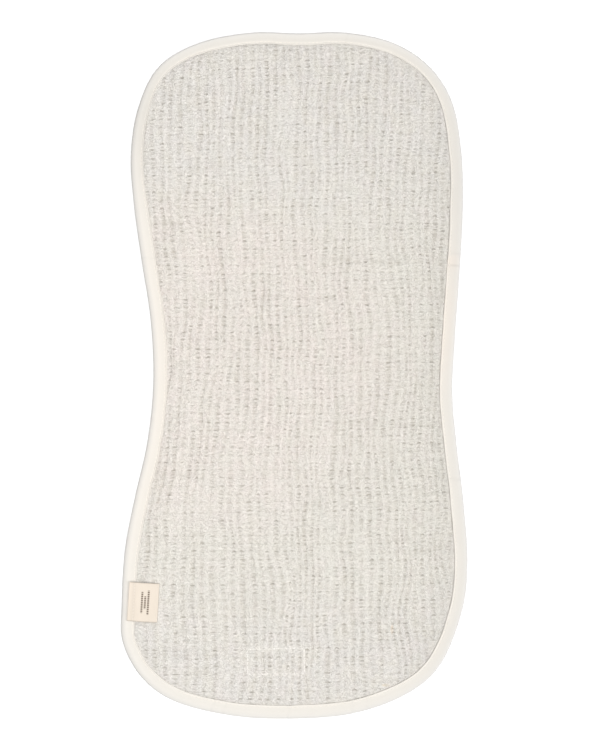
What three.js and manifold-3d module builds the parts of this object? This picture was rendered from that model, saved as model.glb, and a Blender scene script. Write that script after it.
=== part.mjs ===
// A baby's burp cloth: a peanut-shaped pad of crinkled cotton muslin with a narrow waist for the neck,
// bound all round with folded cotton tape, and with a small folded label sewn over the tape.
// It lies flat, face up. Millimetres, +X across, +Y towards the head end, +Z up, origin at the centre of
// the box's underside.
import * as THREE from "three";
import { mergeVertices } from "three/addons/utils/BufferGeometryUtils.js";
import Module from "manifold-3d";

const wasm = await Module();
wasm.setup();

// Overall size of the bound cloth.
const LENGTH = 520;
const WIDTH = 263;

// The outline, clockwise from the head end, with the seen width of the tape at each place.
const OUTLINE = [
  { at: "head, left of the middle", x: -33, y: 260, tape: 8.8 },
  { at: "head, middle", x: 3, y: 259.5, tape: 9.0 },
  { at: "head, right of the middle", x: 40, y: 260, tape: 8.8 },
  { at: "head, right turn begins", x: 76, y: 252, tape: 8.5 },
  { at: "head, right corner", x: 103, y: 234, tape: 8.3 },
  { at: "head, right turn ends", x: 120, y: 207, tape: 8.6 },
  { at: "right, head's side", x: 127, y: 168, tape: 9.0 },
  { at: "right, head's widest", x: 128, y: 125, tape: 9.3 },
  { at: "right, above the tape's join", x: 125.5, y: 78, tape: 9.5 },
  { at: "right, above the waist", x: 122, y: 28, tape: 9.4 },
  { at: "right, waist", x: 120, y: -12, tape: 9.3 },
  { at: "right, below the waist", x: 123, y: -50, tape: 9.3 },
  { at: "right, foot's swell", x: 128, y: -92, tape: 9.4 },
  { at: "right, foot's widest", x: 131.5, y: -140, tape: 9.6 },
  { at: "foot, right turn begins", x: 127.5, y: -178, tape: 9.6 },
  { at: "foot, right corner", x: 111, y: -219, tape: 9.5 },
  { at: "foot, right turn ends", x: 85, y: -241.5, tape: 9.5 },
  { at: "foot, right of the middle", x: 45, y: -256, tape: 9.8 },
  { at: "foot, middle", x: 0, y: -260, tape: 9.9 },
  { at: "foot, left of the middle", x: -45, y: -258, tape: 9.8 },
  { at: "foot, left turn begins", x: -89, y: -247.5, tape: 9.6 },
  { at: "foot, left corner", x: -115, y: -229.5, tape: 9.6 },
  { at: "foot, left turn ends", x: -130, y: -202.5, tape: 9.8 },
  { at: "left, under the label", x: -131, y: -175, tape: 10.2 },
  { at: "left, foot's swell", x: -128.5, y: -132, tape: 10.3 },
  { at: "left, below the waist", x: -121, y: -92.5, tape: 10.3 },
  { at: "left, waist begins", x: -111.5, y: -50, tape: 10.2 },
  { at: "left, waist", x: -107, y: -5, tape: 10.2 },
  { at: "left, waist ends", x: -109, y: 42, tape: 10.2 },
  { at: "left, above the waist", x: -115.5, y: 85, tape: 10.3 },
  { at: "left, head's swell", x: -121.5, y: 128, tape: 10.2 },
  { at: "left, head's widest", x: -124, y: 167, tape: 9.6 },
  { at: "head, left turn begins", x: -118.5, y: 203, tape: 8.8 },
  { at: "head, left corner", x: -103, y: 234, tape: 8.2 },
  { at: "head, left turn ends", x: -73, y: 252, tape: 8.4 },
];
const EDGE_STEP = 9; // spacing of the sections along the outline

// Thicknesses at the bound edge, from the floor up: tape, muslin, tape, a little apart.
const GAP = 0.3;
const TAPE_FOLD = 0.7; // one face of the folded tape, with its turned-in edge
const RIM = 1.1; // muslin pressed between the two faces of the tape
const EDGE_HEIGHT = 2 * TAPE_FOLD + 2 * GAP + RIM;

// The muslin's crinkle: ribs that run from head to foot, uneven in width, height and line.
const RIB_PITCH = 5.7;
const RIB_CREST = 3.1;
const RIB_VALLEY = 2.1;
const RIB_SECTIONS = 16; // steps along a rib

// The tape's two ends are lapped on the right, above the waist.
const LAP_Y = 85;
const LAP_LENGTH = 13;
const LAP_RISE = 0.3;

// The label: one strip of cotton tape, folded in two, its ends sewn over the binding.
const LABEL = { width: 23, height: 29.5, ply: 0.45, x: -125.4, y: -170.9, turn: -3.6, arch: 0.5 };

const muslinCotton = new THREE.MeshStandardMaterial({ color: 0xe2ddd5, roughness: 0.95, metalness: 0 });
const tapeCotton = new THREE.MeshStandardMaterial({ color: 0xf0ebe2, roughness: 0.85, metalness: 0 });
const labelCotton = new THREE.MeshStandardMaterial({ color: 0xf5e9da, roughness: 0.8, metalness: 0 });

// The outline as evenly spaced stations: a place, the unit normal that points inwards, and the tape's width.
function edgeStations() {
  const curve = new THREE.CatmullRomCurve3(
    OUTLINE.map((p) => new THREE.Vector3(p.x, p.y, p.tape)),
    true,
    "catmullrom",
    0.5,
  );
  curve.arcLengthDivisions = 40 * OUTLINE.length;
  const count = Math.round(curve.getLength() / EDGE_STEP);
  const points = curve.getSpacedPoints(count).slice(0, count);
  const box = new THREE.Box3().setFromPoints(points);
  const middle = box.getCenter(new THREE.Vector3());
  const size = box.getSize(new THREE.Vector3());
  for (const p of points) {
    p.x = ((p.x - middle.x) * WIDTH) / size.x;
    p.y = ((p.y - middle.y) * LENGTH) / size.y;
  }
  return points.map((p, i) => {
    const before = points[(i + count - 1) % count];
    const after = points[(i + 1) % count];
    const along = new THREE.Vector2(after.x - before.x, after.y - before.y).normalize();
    return { x: p.x, y: p.y, inX: along.y, inY: -along.x, tape: p.z };
  });
}

const stations = edgeStations();

// The point at a station, moved inwards by some distance and up to a height.
function inside(station, distance, z) {
  return [station.x + station.inX * distance, station.y + station.inY * distance, z];
}

function bufferOf(positions, index) {
  const geometry = new THREE.BufferGeometry();
  geometry.setAttribute("position", new THREE.Float32BufferAttribute(positions.flat(), 3));
  geometry.setIndex(index);
  return geometry;
}

// Two triangles for each cell between row a and row b of a mesh whose rows hold count points.
function strip(index, a, b, count, closed) {
  for (let j = 0; j < (closed ? count : count - 1); j++) {
    const k = (j + 1) % count;
    index.push(a + j, b + j, b + k, a + j, b + k, a + k);
  }
}

// A closed band round the whole outline: section(station) lists its corners in turn as
// [distance inwards, height].
function ringAlongEdge(section) {
  const rows = stations.map((s) => section(s).map(([d, z]) => inside(s, d, z)));
  const count = rows[0].length;
  const index = [];
  rows.forEach((_, i) => strip(index, i * count, ((i + 1) % rows.length) * count, count, true));
  return bufferOf(rows.flat(), index);
}

// A solid disc of the outline's shape: levels lists, from the bottom up, how far each level lies inside
// the outline and its height.
function discOfLevels(levels) {
  const rows = levels.map(({ from, z }) => stations.map((s) => inside(s, from(s), z)));
  const count = stations.length;
  const index = [];
  for (let i = 0; i + 1 < rows.length; i++) strip(index, i * count, (i + 1) * count, count, true);
  const flat = (row) => row.map(([x, y]) => new THREE.Vector2(x, y));
  const top = (rows.length - 1) * count;
  for (const [a, b, c] of THREE.ShapeUtils.triangulateShape(flat(rows[0]), [])) index.push(a, c, b);
  for (const [a, b, c] of THREE.ShapeUtils.triangulateShape(flat(rows.at(-1)), [])) {
    index.push(top + a, top + b, top + c);
  }
  return bufferOf(rows.flat(), index);
}

// A closed mesh as a solid. The builders above may wind either way, so an inside-out one is turned round.
function solidOf(geometry) {
  const bare = new THREE.BufferGeometry();
  bare.setAttribute("position", geometry.getAttribute("position"));
  bare.setIndex(geometry.index);
  const merged = mergeVertices(bare, 1e-4);
  const vertProperties = new Float32Array(merged.getAttribute("position").array);
  const make = (triVerts) => new wasm.Manifold(new wasm.Mesh({ numProp: 3, vertProperties, triVerts }));
  const triangles = new Uint32Array(merged.index.array);
  const solid = make(triangles);
  return solid.volume() > 0 ? solid : make(triangles.reverse());
}

function geometryOf(solid) {
  const { numProp, numVert, vertProperties, triVerts } = solid.getMesh();
  const positions = [];
  for (let i = 0; i < numVert; i++) positions.push([...vertProperties.slice(i * numProp, i * numProp + 3)]);
  const geometry = bufferOf(positions, Array.from(triVerts));
  geometry.computeVertexNormals();
  return geometry;
}

function meshOf(name, solid, material) {
  const mesh = new THREE.Mesh(geometryOf(solid), material);
  mesh.name = name;
  return mesh;
}

// Where valley i of the crinkle runs at height y along the cloth. Each valley keeps its own offset and
// wavers a little by itself, and all of them sway together.
function valleyX(i, y) {
  const x = i * RIB_PITCH + 0.8 * Math.sin(2.4 * i) + 0.4 * Math.sin(5.1 * i + 1);
  return x + 1.4 * Math.sin(y / 36 + x / 60) + 0.5 * Math.sin(y / 24 + 2.1 * i);
}

// How high rib i stands at height y along the cloth.
function crestZ(i, y) {
  return RIB_CREST - 0.2 * (1 + Math.sin(3.3 * i + y / 41));
}

// A block, larger than the cloth, whose top is the ribbed face.
function ribbedBlock() {
  const reach = Math.ceil((WIDTH / 2 + RIB_PITCH) / RIB_PITCH);
  const lines = [];
  for (let i = -reach; i < reach; i++) {
    lines.push((y) => [valleyX(i, y), y, RIB_VALLEY]);
    lines.push((y) => [(valleyX(i, y) + valleyX(i + 1, y)) / 2, y, crestZ(i, y)]);
  }
  const rows = [];
  for (let j = 0; j <= RIB_SECTIONS; j++) {
    const y = (LENGTH + 10) * (j / RIB_SECTIONS - 0.5);
    rows.push(lines.map((line) => line(y)));
  }
  const under = -1; // below the cloth's flat underside
  const count = lines.length;
  const positions = [...rows.flat(), ...rows.flat().map(([x, y]) => [x, y, under])];
  const lower = rows.length * count;
  const index = [];
  for (let j = 0; j + 1 < rows.length; j++) {
    strip(index, j * count, (j + 1) * count, count, false);
    strip(index, lower + (j + 1) * count, lower + j * count, count, false);
    for (const [a, b] of [[j * count, (j + 1) * count], [(j + 2) * count - 1, (j + 1) * count - 1]]) {
      index.push(a, lower + a, lower + b, a, lower + b, b);
    }
  }
  for (let k = 0; k + 1 < count; k++) {
    const last = (rows.length - 1) * count;
    index.push(k + 1, lower + k + 1, lower + k, k + 1, lower + k, k);
    index.push(last + k, lower + last + k, lower + last + k + 1, last + k, lower + last + k + 1, last + k + 1);
  }
  return solidOf(bufferOf(positions, index));
}

// The muslin: the ribbed face, low along the tape and full a little way in, and a thin rim between the
// tape's two faces.
function muslin() {
  const pillow = solidOf(
    discOfLevels([
      { from: (s) => s.tape + GAP, z: 0 },
      { from: (s) => s.tape + GAP, z: RIB_VALLEY + 0.1 },
      { from: (s) => s.tape + 2.5, z: RIB_VALLEY + 0.6 },
      { from: (s) => s.tape + 7, z: RIB_CREST + 0.1 },
    ]),
  );
  const low = TAPE_FOLD + GAP;
  const rimOuter = EDGE_HEIGHT / 2 + GAP;
  const rim = solidOf(
    ringAlongEdge((s) => [
      [rimOuter, low],
      [s.tape + 1, low],
      [s.tape + 1, low + RIM],
      [rimOuter, low + RIM],
    ]),
  );
  return ribbedBlock().intersect(pillow).add(rim);
}

// The binding: tape folded round the muslin's rim, open inwards. Its outer fold is round.
function binding() {
  const outer = EDGE_HEIGHT / 2;
  const inner = outer - TAPE_FOLD;
  const arc = (radius, from, to, steps) =>
    Array.from({ length: steps + 1 }, (_, k) => {
      const turn = THREE.MathUtils.lerp(from, to, k / steps);
      return [outer - radius * Math.sin(turn), outer - radius * Math.cos(turn)];
    });
  return solidOf(
    ringAlongEdge((s) => {
      const lapped = s.x > 0 && Math.abs(s.y - LAP_Y) < LAP_LENGTH / 2;
      const rise = (z) => (lapped && z > outer ? LAP_RISE * (z / outer - 1) : 0);
      return [
        ...arc(outer, 0, Math.PI, 6).map(([d, z]) => [d, z + rise(z)]),
        [s.tape - 0.8, EDGE_HEIGHT + rise(EDGE_HEIGHT)],
        [s.tape, EDGE_HEIGHT - 0.25],
        [s.tape, EDGE_HEIGHT - TAPE_FOLD],
        ...arc(inner, Math.PI, 0, 4),
        [s.tape, TAPE_FOLD],
        [s.tape, 0],
      ];
    }),
  );
}

// The label's section, back and forth: the under layer outwards, round the fold, and the upper layer back.
function label() {
  const { width, height, ply, arch } = LABEL;
  const steps = 6;
  const lift = EDGE_HEIGHT + GAP;
  const rise = (u) => lift + arch * Math.sin((Math.PI * u) / width) ** 2;
  const fold = ply + GAP / 2; // outer radius of the round fold at the free end
  const line = (offset, forwards) =>
    Array.from({ length: steps + 1 }, (_, k) => {
      const u = ((width - fold) * (forwards ? k : steps - k)) / steps;
      return new THREE.Vector2(u, rise(u) + offset);
    });
  const round = (radius, clockwise) =>
    [1, 2, 3].map((k) => {
      const turn = ((clockwise ? 4 - k : k) / 4) * Math.PI - Math.PI / 2;
      const u = width - fold;
      return new THREE.Vector2(u + radius * Math.cos(turn), rise(u) + fold + radius * Math.sin(turn));
    });
  const section = new THREE.Shape([
    ...line(0, true),
    ...round(fold, false),
    ...line(2 * fold, false),
    ...line(2 * fold - ply, true),
    ...round(fold - ply, true),
    ...line(ply, false),
  ]);
  const geometry = new THREE.ExtrudeGeometry(section, { depth: height, bevelEnabled: false, steps: 1 });
  geometry.rotateX(Math.PI / 2);
  geometry.translate(0, height / 2, 0);
  geometry.rotateZ(THREE.MathUtils.degToRad(LABEL.turn));
  geometry.translate(LABEL.x, LABEL.y, 0);
  const mesh = new THREE.Mesh(geometry, labelCotton);
  mesh.name = "care_label";
  return mesh;
}

const burpCloth = new THREE.Group();
burpCloth.name = "burp_cloth";
burpCloth.add(meshOf("muslin_pad", muslin(), muslinCotton));
burpCloth.add(meshOf("edge_binding", binding(), tapeCotton));
burpCloth.add(label());

export default burpCloth;
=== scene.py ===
import math

import bmesh
import bpy
import numpy as np
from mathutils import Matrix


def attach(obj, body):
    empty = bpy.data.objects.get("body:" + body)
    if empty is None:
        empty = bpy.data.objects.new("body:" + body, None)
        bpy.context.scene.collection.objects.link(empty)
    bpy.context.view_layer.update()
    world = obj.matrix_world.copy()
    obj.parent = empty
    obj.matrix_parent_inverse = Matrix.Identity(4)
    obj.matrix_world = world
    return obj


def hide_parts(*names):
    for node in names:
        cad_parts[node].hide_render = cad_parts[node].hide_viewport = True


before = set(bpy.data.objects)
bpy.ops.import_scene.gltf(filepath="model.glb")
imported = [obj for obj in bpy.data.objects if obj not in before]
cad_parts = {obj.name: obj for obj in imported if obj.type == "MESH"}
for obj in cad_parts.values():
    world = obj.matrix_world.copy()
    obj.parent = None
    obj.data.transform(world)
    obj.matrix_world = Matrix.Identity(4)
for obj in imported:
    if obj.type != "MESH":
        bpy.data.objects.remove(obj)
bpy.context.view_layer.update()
mm = 0.001


# Shared numpy helpers

# White noise, blurred by a Gaussian that reaches so many grid places along each axis, at unit deviation.
def softNoise(shape, reach, seed):
    spectrum = np.fft.fft2(np.random.default_rng(seed).standard_normal(shape))
    along = np.fft.fftfreq(shape[0])[:, None] * reach[0]
    across = np.fft.fftfreq(shape[1])[None, :] * reach[1]
    field = np.fft.ifft2(spectrum * np.exp(-2 * math.pi**2 * (along**2 + across**2))).real
    return field / field.std()


def bell(distance, width):  # 1 at no distance, falling off as exp(-(distance / width)^2)
    return np.exp(-((distance / width) ** 2))


def smoothStep(value):  # 3v^2 - 2v^3 between 0 and 1
    v = np.clip(value, 0, 1)
    return v * v * (3 - 2 * v)


def table(columns, *rows):  # each row as a dictionary, by the names of the columns
    return [dict(zip(columns.split(), row)) for row in rows]


# The quads between neighbouring places of a grid, facing along (first axis) x (second axis).
def gridFaces(rows, columns, wrapRows=False, wrapColumns=False):
    i = np.arange(rows if wrapRows else rows - 1)[:, None]
    j = np.arange(columns if wrapColumns else columns - 1)[None, :]
    iNext, jNext = (i + 1) % rows, (j + 1) % columns
    corners = [i * columns + j, iNext * columns + j, iNext * columns + jNext, i * columns + jNext]
    return np.stack(np.broadcast_arrays(*corners), axis=-1).reshape(-1, 4)


# A mesh object from arrays of places and quads. uv has a place for each corner of each quad, and each
# value in attributes a number for each vertex.
def makePiece(name, places, quads, material, uv=None, attributes=None):
    mesh = bpy.data.meshes.new(name)
    mesh.vertices.add(len(places))
    mesh.vertices.foreach_set("co", places.astype(np.float32).ravel())
    mesh.loops.add(quads.size)
    mesh.loops.foreach_set("vertex_index", quads.astype(np.int32).ravel())
    mesh.polygons.add(len(quads))
    mesh.polygons.foreach_set("loop_start", np.arange(0, quads.size, 4, dtype=np.int32))
    mesh.update(calc_edges=True)
    if uv is not None:
        mesh.uv_layers.new(name="UVMap").data.foreach_set("uv", uv.astype(np.float32).ravel())
    for key, values in (attributes or {}).items():
        mesh.attributes.new(key, "FLOAT", "POINT").data.foreach_set("value", values.astype(np.float32))
    mesh.shade_smooth()
    mesh.materials.append(material)
    piece = bpy.data.objects.new(name, mesh)
    bpy.context.scene.collection.objects.link(piece)
    return piece


# The bound edge, read from the frame

edge = {
    "height": 3.1 * mm,  # the bound edge's, as in the frame
    "lipDrop": 0.25 * mm,  # the tape's inner corner lies this far below the top in the frame
    "spacing": 1.5 * mm,  # between places along the outline
    "inset": {"left": 0.35 * mm, "right": 0.2 * mm, "foot": -0.2 * mm},  # of the fold, from the frame's
    "lap": {"left": 0.5 * mm, "head": -0.25 * mm},  # how much further in than the frame's the tape ends
    "belowHead": 140 * mm,  # the y below which the left's lap holds, and how far it fades in
    "headFade": 40 * mm,
}


# A node's vertices at one height, in clockwise order round the middle.
def ringOf(node, height):
    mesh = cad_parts[node].data
    places = np.empty(3 * len(mesh.vertices))
    mesh.vertices.foreach_get("co", places)
    places = places.reshape(-1, 3)
    ring = np.unique(np.round(places[np.abs(places[:, 2] - height) < 0.02 * mm, :2], 6), axis=0)
    return ring[np.argsort(-np.arctan2(ring[:, 1], ring[:, 0]))]


# An even number of evenly spaced places on the closed Catmull-Rom curve through the points:
# (2b + (c - a)t + (2a - 5b + 4c - d)t^2 + (3b - a - 3c + d)t^3) / 2 between b and c.
def closedCurve(points, spacing):
    t = np.linspace(0, 1, 24, endpoint=False)[:, None]
    a, b, c, d = (np.roll(points, shift, axis=0)[:, None] for shift in (1, 0, -1, -2))
    curve = (2 * b + (c - a) * t + (2 * a - 5 * b + 4 * c - d) * t**2 + (3 * b - a - 3 * c + d) * t**3) / 2
    ring = np.vstack([curve.reshape(-1, 2), curve[0, :1]])
    run = np.concatenate([[0], np.cumsum(np.linalg.norm(np.diff(ring, axis=0), axis=1))])
    at = np.linspace(0, run[-1], 2 * round(run[-1] / spacing / 2), endpoint=False)
    return np.stack([np.interp(at, run, ring[:, k]) for k in (0, 1)], axis=1), run[-1]


def directions(curve):  # unit tangent, and the unit normal on its right, which points inwards
    along = np.roll(curve, -1, axis=0) - np.roll(curve, 1, axis=0)
    along /= np.linalg.norm(along, axis=1, keepdims=True)
    return along, np.stack([along[:, 1], -along[:, 0]], axis=1)


def nearest(points, curve):  # the index of the curve's place that is closest to each point
    parts = np.array_split(points, len(points) // 4000 + 1)
    return np.concatenate([((p[:, None] - curve[None]) ** 2).sum(axis=2).argmin(axis=1) for p in parts])


# The frame's fold is a half circle: at a quarter of the height it lies (1 - cos 30) radii inside the edge.
foldCurve, _ = closedCurve(ringOf("edge_binding", edge["height"] / 4), edge["spacing"])
foldInset = (1 - math.cos(math.pi / 6)) * edge["height"] / 2
outline, perimeter = closedCurve(foldCurve - directions(foldCurve)[1] * foldInset, edge["spacing"])
alongEdge, inwards = directions(outline)
edgeRun = np.arange(len(outline)) * perimeter / len(outline)
print("outline read:", len(outline), "places,", round(perimeter, 4), "m round")


# A value for each place of the outline, mixed from one for each side of the cloth by the squares of the
# inward direction's parts, which add up to one.
def bySide(left=0.0, right=0.0, head=0.0, foot=0.0):
    x, y = inwards[:, 0], inwards[:, 1]
    return np.where(x > 0, left, right) * x**2 + np.where(y > 0, foot, head) * y**2


outline = outline + inwards * bySide(**edge["inset"])[:, None]
seamCurve, _ = closedCurve(ringOf("edge_binding", edge["height"] - edge["lipDrop"]), edge["spacing"] / 3)
tapeWidth = np.linalg.norm(outline - seamCurve[nearest(outline, seamCurve)], axis=1)
belowHead = smoothStep((edge["belowHead"] - outline[:, 1]) / edge["headFade"])
tapeWidth += bySide(left=edge["lap"]["left"]) * belowHead + bySide(head=edge["lap"]["head"])


def runAt(x, y):  # how far along the edge the place nearest to (x, y) is
    return edgeRun[nearest(np.array([[x, y]]), outline)[0]]


def runFrom(start):  # each place's distance along the edge from a start, the short way round, signed
    return (edgeRun - start + perimeter / 2) % perimeter - perimeter / 2


# Materials

# A node with its settings and inputs; an input's value is a number, a colour or another node's output.
def addNode(tree, kind, inputs=None, **settings):
    made = tree.nodes.new(kind)
    for key, value in settings.items():
        setattr(made, key, value)
    for socket, value in (inputs or {}).items():
        if isinstance(value, bpy.types.NodeSocket):
            tree.links.new(value, made.inputs[socket])
        else:
            made.inputs[socket].default_value = value
    return made


def math2(tree, operation, a, b=0.0):
    return addNode(tree, "ShaderNodeMath", {0: a, 1: b}, operation=operation).outputs[0]


def times(tree, a, b):
    return math2(tree, "MULTIPLY", a, b)


def plus(tree, a, b):
    return math2(tree, "ADD", a, b)


def vectorMath(tree, operation, a, b=(0.0, 0.0, 0.0)):
    return addNode(tree, "ShaderNodeVectorMath", {0: a, 1: b}, operation=operation).outputs[0]


def lengthOf(tree, vector):
    return addNode(tree, "ShaderNodeVectorMath", {0: vector}, operation="LENGTH").outputs[1]


def scaleColour(tree, colour, scale):
    return addNode(tree, "ShaderNodeVectorMath", {0: colour, "Scale": scale}, operation="SCALE").outputs[0]


def mixColour(tree, factor, a, b):
    return addNode(tree, "ShaderNodeMix", {0: factor, 6: a, 7: b}, data_type="RGBA").outputs[2]


def noiseOf(tree, vector, scale, **inputs):  # its outputs are a value and a colour
    return addNode(tree, "ShaderNodeTexNoise", {"Vector": vector, "Scale": scale, **inputs}).outputs


def stretched(tree, vector, lumps):  # scaled along each axis, so that a noise has so many lumps to the unit
    return addNode(tree, "ShaderNodeMapping", {0: vector, 3: lumps}).outputs[0]


def attributeOf(tree, key):
    return addNode(tree, "ShaderNodeAttribute", attribute_name=key).outputs["Fac"]


def bumpFrom(tree, height, shader):  # heights in metres
    bump = addNode(tree, "ShaderNodeBump", {"Strength": 1.0, "Distance": 1.0, "Height": height})
    tree.links.new(bump.outputs[0], shader.inputs["Normal"])


def rangeOf(tree, value, fromLow, fromHigh, toLow, toHigh):
    inputs = {0: value, 1: fromLow, 2: fromHigh, 3: toLow, 4: toHigh}
    return addNode(tree, "ShaderNodeMapRange", inputs, interpolation_type="SMOOTHSTEP").outputs[0]


def useGroup(tree, group, inputs):
    return addNode(tree, "ShaderNodeGroup", inputs, node_tree=group).outputs


def newGroup(name, inputs, outputs):  # inputs and outputs are {name: socket kind}
    tree = bpy.data.node_groups.new(name, "ShaderNodeTree")
    for key, kind in inputs.items():
        tree.interface.new_socket(name=key, in_out="INPUT", socket_type="NodeSocket" + kind)
    for key, kind in outputs.items():
        tree.interface.new_socket(name=key, in_out="OUTPUT", socket_type="NodeSocket" + kind)
    return tree, tree.nodes.new("NodeGroupInput").outputs, tree.nodes.new("NodeGroupOutput").inputs


def newMaterial(name, roughness, sheen, specular=0.2):
    material = bpy.data.materials.new(name)
    material.use_nodes = True
    tree = material.node_tree
    shader = tree.nodes["Principled BSDF"]
    shader.inputs["Roughness"].default_value = roughness
    shader.inputs["Specular IOR Level"].default_value = specular
    shader.inputs["Sheen Weight"].default_value = sheen
    shader.inputs["Sheen Roughness"].default_value = 0.5
    return material, tree, shader


# Plain weave: threads are ridges |sin(pi x / pitch)| and |sin(pi y / pitch)|, and the sign of the product
# of the two sines says which one passes over.
def buildWeave():
    tree, given, out = newGroup("plainWeave", {"Vector": "Vector", "Pitch": "Float"}, {"Height": "Float"})
    split = addNode(tree, "ShaderNodeSeparateXYZ", {0: given["Vector"]})
    turns = [math2(tree, "DIVIDE", split.outputs[k], given["Pitch"]) for k in (0, 1)]
    waves = [math2(tree, "SINE", times(tree, t, math.pi)) for t in turns]
    over = rangeOf(tree, times(tree, waves[0], waves[1]), -0.5, 0.5, 0.0, 1.0)
    warp, weft = (math2(tree, "ABSOLUTE", w) for w in waves)
    top = times(tree, warp, over)
    under = times(tree, weft, math2(tree, "SUBTRACT", 1.0, over))
    tree.links.new(plus(tree, top, under), out["Height"])
    return tree


weaveGroup = buildWeave()


# Unevenness of undyed cotton: broad soft patches and fine flecks, both from noise, as one value near 0.5.
def buildMottle():
    tree, given, out = newGroup("cottonMottle", {"Vector": "Vector", "Scale": "Float"}, {"Value": "Float"})
    broad = noiseOf(tree, given["Vector"], given["Scale"])[0]
    fineScale = times(tree, given["Scale"], 21.0)
    fine = noiseOf(tree, given["Vector"], fineScale, Detail=3.0)[0]
    flecks = times(tree, fine, 0.4)
    tree.links.new(plus(tree, flecks, times(tree, broad, 0.6)), out["Value"])
    return tree


mottleGroup = buildMottle()


# Fine crimp of washed gauze: short curled wrinkles, from distorted noise with so many lumps to the unit
# along each axis. Height is the noise; Shade is 1 in its troughs, for painted shade, and FuzzHighlight is 1
# on its tops, for painted highlight that also stands for fibre fuzz; both are 0 elsewhere.
def buildCrimp():
    outputs = {"Height": "Float", "Shade": "Float", "FuzzHighlight": "Float"}
    tree, given, out = newGroup("gauzeCrimp", {"Vector": "Vector", "Lumps": "Vector"}, outputs)
    drawn = stretched(tree, given["Vector"], given["Lumps"])
    noise = noiseOf(tree, drawn, 1.0, Detail=2.0, Distortion=1.3)[0]
    tree.links.new(noise, out["Height"])
    tree.links.new(rangeOf(tree, noise, 0.34, 0.48, 1.0, 0.0), out["Shade"])
    tree.links.new(rangeOf(tree, noise, 0.5, 0.62, 0.0, 1.0), out["FuzzHighlight"])
    return tree


crimpGroup = buildCrimp()


# Ties of double gauze: one dark dash at every whole number of a vector that counts cells, a pit for the bump
# and its painted shade. Its shape is 1 - (x / width)^2 - ((y - bow x^2) / height)^2, with the bow and the
# strength at random for each. RimHighlight is a band round the dash and PuffHighlight is 1 where |y| is
# large, between two rows of ties; both are masks for painted highlight.
def buildTies():
    inputs = {"Vector": "Vector", "Size": "Vector", "Least": "Float", "Most": "Float"}
    tree, given, out = newGroup("gauzeTies", inputs, {"Pit": "Float", "RimHighlight": "Float", "PuffHighlight": "Float"})
    cell = vectorMath(tree, "FLOOR", vectorMath(tree, "ADD", given["Vector"], (0.5, 0.5, 0.0)))
    off = vectorMath(tree, "SUBTRACT", given["Vector"], cell)
    chance = addNode(tree, "ShaderNodeTexWhiteNoise", {"Vector": cell}, noise_dimensions="3D")
    red, green, blue = addNode(tree, "ShaderNodeSeparateColor", {0: chance.outputs["Color"]}).outputs
    x, y, _ = addNode(tree, "ShaderNodeSeparateXYZ", {0: off}).outputs
    tree.links.new(rangeOf(tree, math2(tree, "ABSOLUTE", y), 0.08, 0.28, 0.0, 1.0), out["PuffHighlight"])
    bow = times(tree, times(tree, x, x), rangeOf(tree, green, 0.0, 1.0, -2.0, 1.0))
    y = math2(tree, "SUBTRACT", y, plus(tree, bow, rangeOf(tree, blue, 0.0, 1.0, -0.08, 0.08)))
    shape = addNode(tree, "ShaderNodeCombineXYZ", {0: x, 1: y}).outputs[0]
    away = lengthOf(tree, vectorMath(tree, "DIVIDE", shape, given["Size"]))
    strength = addNode(tree, "ShaderNodeMapRange", {0: red, 3: given["Least"], 4: given["Most"]}).outputs[0]
    strength = math2(tree, "MAXIMUM", strength, 0.0)
    tree.links.new(times(tree, rangeOf(tree, away, 0.25, 1.0, 1.0, 0.0), strength), out["Pit"])
    rim, outside = rangeOf(tree, away, 0.8, 1.2, 0.0, 1.0), rangeOf(tree, away, 1.3, 2.0, 1.0, 0.0)
    rim = times(tree, rim, outside)
    tree.links.new(times(tree, rim, strength), out["RimHighlight"])
    return tree


tiesGroup = buildTies()

muslinLook = {
    "roughness": 0.95,
    "sheen": 0.12,
    "grey": (0.711, 0.686, 0.654, 1),
    "pink": (0.739, 0.681, 0.648, 1),
    "green": (0.698, 0.688, 0.627, 1),
    "cream": (0.721, 0.688, 0.620, 1),
    "hues": {"lumps": (95, 60, 1), "shares": {"pink": 0.4, "green": 0.4, "cream": 0.55}},
    # fuzzHighlight is the colour of painted highlight, partly fibre fuzz; pitShade is the colour of painted
    # shade.
    "fuzzHighlight": (0.812, 0.776, 0.731, 1),
    "pitShade": (0.279, 0.242, 0.186, 1),
    "threadPitch": 0.62 * mm,
    "crimp": {"lumps": (690, 690, 1), "depth": 1.4 * mm, "shade": 0.25, "fuzzHighlight": 0.26},
    "ladder": {"lumps": (1.1, 3.2, 1), "depth": 0.75 * mm, "shade": 0.28, "onRibs": 0.25},
    "hollowShade": 0.1,
    "weaveDepth": 0.05 * mm,
    "pitDepth": 0.5 * mm,
    "pitShadeShare": 0.54,
    "pitOnRibs": 0.4,  # how much of a tie is left on top of a rib
    "rimHighlight": 0.35,
    "ties": (
        {"offset": (0.0, 0.0, 0.0), "size": (0.44, 0.14, 1.0), "least": 0.15, "most": 0.95, "puffHighlight": 0.07},
        {"offset": (0.0, 0.5, 0.0), "size": (0.44, 0.13, 1.0), "least": -0.4, "most": 0.6, "puffHighlight": 0.0},
    ),
    "tieWander": (0.35, 0.16, 0.0),
    "wanderLumps": 2.6,  # to a cell
    "patchScale": 11.0,
    "raggedness": 0.8,  # of the tints' edges
}

# Tints of the muslin, over grey: the middle and the half sizes of each oval, in metres. Two are broad, two
# are specks of a coloured fibre.
muslinTints = [
    {"middle": (0.0, -0.025, 0.0), "half": (0.3, 0.155, 1.0), "colour": (0.714, 0.688, 0.630, 1)},
    {"middle": (-0.06, 0.01, 0.0), "half": (0.132, 0.115, 1.0), "colour": (0.753, 0.690, 0.642, 1)},
    {"middle": (0.0742, -0.1927, 0.0), "half": (0.0011, 0.0036, 1.0), "colour": (0.763, 0.642, 0.521, 1)},
    {"middle": (0.0695, -0.2345, 0.0), "half": (0.0032, 0.0012, 1.0), "colour": (0.726, 0.642, 0.512, 1)},
]


shadeKeys = "pinchShade", "hollow", "tone"  # the muslin's attributes
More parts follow.
